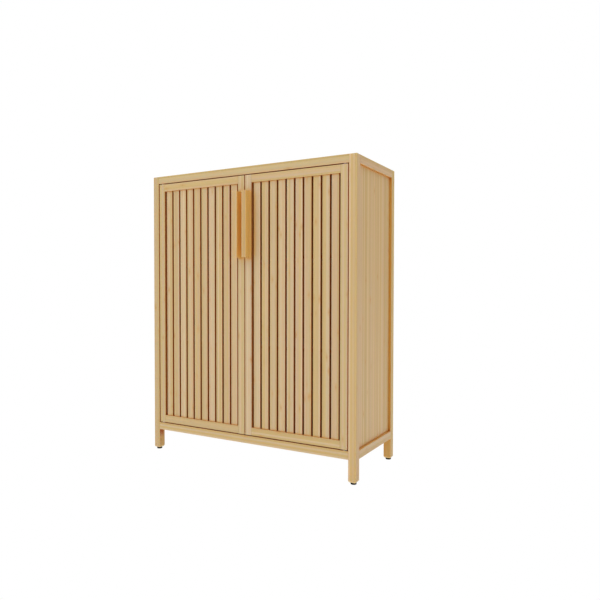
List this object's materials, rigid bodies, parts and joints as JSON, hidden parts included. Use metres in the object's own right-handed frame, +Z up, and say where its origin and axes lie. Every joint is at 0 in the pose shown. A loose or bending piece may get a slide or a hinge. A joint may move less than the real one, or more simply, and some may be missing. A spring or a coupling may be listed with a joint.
{
  "type": "shoe cabinet",
  "caption": "Free-standing bamboo shoe cabinet on legs, with two slatted doors hung on pivot pins, inner shelves, bar handles, a magnetic catch and levelling feet.",
  "frame": {"origin": "centre of the whole object's footprint, handles included, on the floor", "axes": "+Z up, +X to the right as seen by someone facing the doors, +Y to the back; the doors and handles face -Y"},
  "size_m": [0.7872, 0.34, 0.9675],
  "materials": {
    "bamboo_board": "clear satin lacquer, edge-glued bamboo strips",
    "bamboo_door_frame": "clear satin lacquer, laminated bamboo strips",
    "bamboo_frame": "clear satin lacquer, laminated bamboo strips",
    "bamboo_handle": "clear satin lacquer",
    "bamboo_slat": "clear satin lacquer, single bamboo strips",
    "black_plastic": "matt",
    "brown_plastic": "matt",
    "cast_zinc": "die-cast",
    "dowel_wood": "raw",
    "magnet": "sintered ferrite",
    "white_nylon": "matt",
    "zinc_steel": "zinc plated"
  },
  "bodies": {
    "cabinet": {"back_panel": "bamboo_board", "back_screws": "zinc_steel", "bottom_panel": "bamboo_board", "cam_bolts": "zinc_steel", "cam_locks": "cast_zinc", "catch_housing": "brown_plastic", "catch_magnets": "magnet", "catch_screws": "zinc_steel", "foot_inserts": "zinc_steel", "front_rail_bottom": "bamboo_frame", "front_rail_top": "bamboo_frame", "pivot_bushes": "white_nylon", "post_front_left": "bamboo_frame", "post_front_right": "bamboo_frame", "post_rear_left": "bamboo_frame", "post_rear_right": "bamboo_frame", "rail_dowels": "dowel_wood", "rear_rail_bottom": "bamboo_frame", "rear_rail_top": "bamboo_frame", "shelf_lower": "bamboo_board", "shelf_pins": "zinc_steel", "shelf_upper": "bamboo_board", "side_panel_left": "bamboo_board", "side_panel_right": "bamboo_board", "side_rail_bottom_left": "bamboo_frame", "side_rail_bottom_right": "bamboo_frame", "side_rail_top_left": "bamboo_frame", "side_rail_top_right": "bamboo_frame", "top_panel": "bamboo_board"},
    "door_left": {"door_left_dowels": "dowel_wood", "door_left_handle": "bamboo_handle", "door_left_handle_screws": "zinc_steel", "door_left_pivot_pins": "zinc_steel", "door_left_rail_bottom": "bamboo_door_frame", "door_left_rail_top": "bamboo_door_frame", "door_left_slats": "bamboo_slat", "door_left_stile_inner": "bamboo_door_frame", "door_left_stile_outer": "bamboo_door_frame", "door_left_strike_plate": "zinc_steel", "door_left_strike_screw": "zinc_steel"},
    "door_right": {"door_right_dowels": "dowel_wood", "door_right_handle": "bamboo_handle", "door_right_handle_screws": "zinc_steel", "door_right_pivot_pins": "zinc_steel", "door_right_rail_bottom": "bamboo_door_frame", "door_right_rail_top": "bamboo_door_frame", "door_right_slats": "bamboo_slat", "door_right_stile_inner": "bamboo_door_frame", "door_right_stile_outer": "bamboo_door_frame", "door_right_strike_plate": "zinc_steel", "door_right_strike_screw": "zinc_steel"},
    "foot_front_left": {"foot_pad_front_left": "black_plastic", "foot_stud_front_left": "zinc_steel"},
    "foot_front_right": {"foot_pad_front_right": "black_plastic", "foot_stud_front_right": "zinc_steel"},
    "foot_rear_left": {"foot_pad_rear_left": "black_plastic", "foot_stud_rear_left": "zinc_steel"},
    "foot_rear_right": {"foot_pad_rear_right": "black_plastic", "foot_stud_rear_right": "zinc_steel"}
  },
  "joints": [
    {"name": "door_left_hinge", "type": "hinge", "parent": "cabinet", "child": "door_left", "pos_m": [-0.35425, -0.13155, 0.52], "axis": [0, 0, -1], "range_deg": [0, 120]},
    {"name": "door_right_hinge", "type": "hinge", "parent": "cabinet", "child": "door_right", "pos_m": [0.35425, -0.13155, 0.52], "axis": [0, 0, 1], "range_deg": [0, 120]},
    {"name": "foot_front_left_screw", "type": "slide", "parent": "cabinet", "child": "foot_front_left", "axis": [0, 0, -1], "range_m": [0, 0.01]},
    {"name": "foot_front_right_screw", "type": "slide", "parent": "cabinet", "child": "foot_front_right", "axis": [0, 0, -1], "range_m": [0, 0.01]},
    {"name": "foot_rear_left_screw", "type": "slide", "parent": "cabinet", "child": "foot_rear_left", "axis": [0, 0, -1], "range_m": [0, 0.01]},
    {"name": "foot_rear_right_screw", "type": "slide", "parent": "cabinet", "child": "foot_rear_right", "axis": [0, 0, -1], "range_m": [0, 0.01]}
  ]
}
